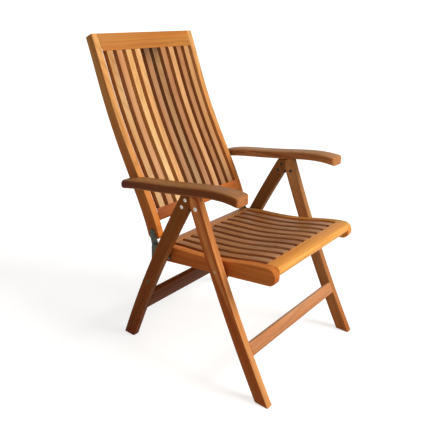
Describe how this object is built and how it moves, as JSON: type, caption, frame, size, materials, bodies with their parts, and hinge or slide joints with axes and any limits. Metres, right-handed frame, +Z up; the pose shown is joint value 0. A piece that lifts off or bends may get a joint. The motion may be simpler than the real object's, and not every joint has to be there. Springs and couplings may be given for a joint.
{
  "type": "folding armchair",
  "caption": "High-backed folding armchair in slatted teak, with crossed legs hinged under wide curved arms and a back that reclines on notched racks.",
  "frame": {"origin": "on the floor, below the middle of the chair's bounding box, with the chair open as pictured", "axes": "+Z up, the chair faces -Y, +X runs across it, and X = 0 is its plane of symmetry"},
  "size_m": [0.626, 0.8236, 1.1],
  "materials": {
    "teak_dark": "oiled teak, dark red-brown",
    "teak_orange": "oiled teak, warm orange-tan",
    "teak_tan": "oiled teak, tan, each plank a little different",
    "teak_brown": "oiled teak, grey-brown",
    "teak_arm": "oiled teak, greyish brown",
    "bright_steel": "bright fasteners",
    "dark_steel": "dull dark hinge metal",
    "brown_steel": "browned steel rack"
  },
  "bodies": {
    "rear_frame": {"rear_leg_left": "teak_dark", "rear_leg_right": "teak_dark", "rear_stretcher": "teak_dark", "arm_left": "teak_arm", "arm_right": "teak_arm", "arm_bracket_left": "dark_steel", "arm_bracket_right": "dark_steel", "recline_rack_left": "brown_steel", "recline_rack_right": "brown_steel", "rear_leg_bolt_left_1": "bright_steel", "rear_leg_bolt_left_2": "bright_steel", "rear_leg_bolt_right_1": "bright_steel", "rear_leg_bolt_right_2": "bright_steel", "front_pivot_bolt_left": "bright_steel", "front_pivot_bolt_right": "bright_steel", "stay_bolt_left": "bright_steel", "stay_bolt_right": "bright_steel"},
    "front_frame": {"front_leg_left": "teak_dark", "front_leg_right": "teak_dark", "front_stretcher": "teak_orange", "seat_pivot_bolt_left": "bright_steel", "seat_pivot_bolt_right": "bright_steel"},
    "seat": {"seat_rail_left": "teak_dark", "seat_rail_right": "teak_dark", "seat_front_rail": "teak_orange", "seat_rear_rail": "teak_orange", "seat_slat_1": "teak_brown", "seat_slat_2": "teak_brown", "seat_slat_3": "teak_brown", "seat_slat_4": "teak_brown", "seat_slat_5": "teak_brown", "seat_slat_6": "teak_brown", "seat_slat_7": "teak_brown", "seat_slat_8": "teak_brown", "seat_slat_9": "teak_brown", "seat_slat_10": "teak_brown", "seat_hinge_plate_left": "dark_steel", "seat_hinge_plate_right": "dark_steel", "hinge_pin_left": "bright_steel", "hinge_pin_right": "bright_steel"},
    "back": {"back_stile_left": "teak_dark", "back_stile_right": "teak_dark", "back_top_rail": "teak_orange", "back_bottom_rail": "teak_orange", "back_slat_1": "teak_tan", "back_slat_2": "teak_tan", "back_slat_3": "teak_tan", "back_slat_4": "teak_tan", "back_slat_5": "teak_tan", "back_slat_6": "teak_tan", "back_slat_7": "teak_tan", "back_slat_8": "teak_tan", "back_slat_9": "teak_tan", "back_slat_10": "teak_tan", "back_hinge_plate_left": "dark_steel", "back_hinge_plate_right": "dark_steel", "recline_stud_left": "bright_steel", "recline_stud_right": "bright_steel"},
    "stays": {"stay_left": "dark_steel", "stay_right": "dark_steel"}
  },
  "joints": [
    {"name": "fold", "type": "hinge", "parent": "rear_frame", "child": "front_frame", "pos_m": [0, -0.11837, 0.594], "axis": [1, 0, 0], "range_deg": [0, 49]},
    {"name": "seat_tilt", "type": "hinge", "parent": "front_frame", "child": "seat", "pos_m": [0, -0.19463, 0.404], "axis": [-1, 0, 0], "range_deg": [0, 73.4]},
    {"name": "stay_swing", "type": "hinge", "parent": "rear_frame", "child": "stays", "pos_m": [0, 0.11198, 0.2655], "axis": [-1, 0, 0], "range_deg": [0, 91.5]},
    {"name": "recline", "type": "hinge", "parent": "seat", "child": "back", "pos_m": [0, 0.09787, 0.388], "axis": [-1, 0, 0], "range_deg": [-44, 0]}
  ],
  "couplings": [
    {"joint": "seat_tilt", "follows": "fold", "ratio": 1.4976},
    {"joint": "stay_swing", "follows": "fold", "ratio": 1.8667}
  ]
}
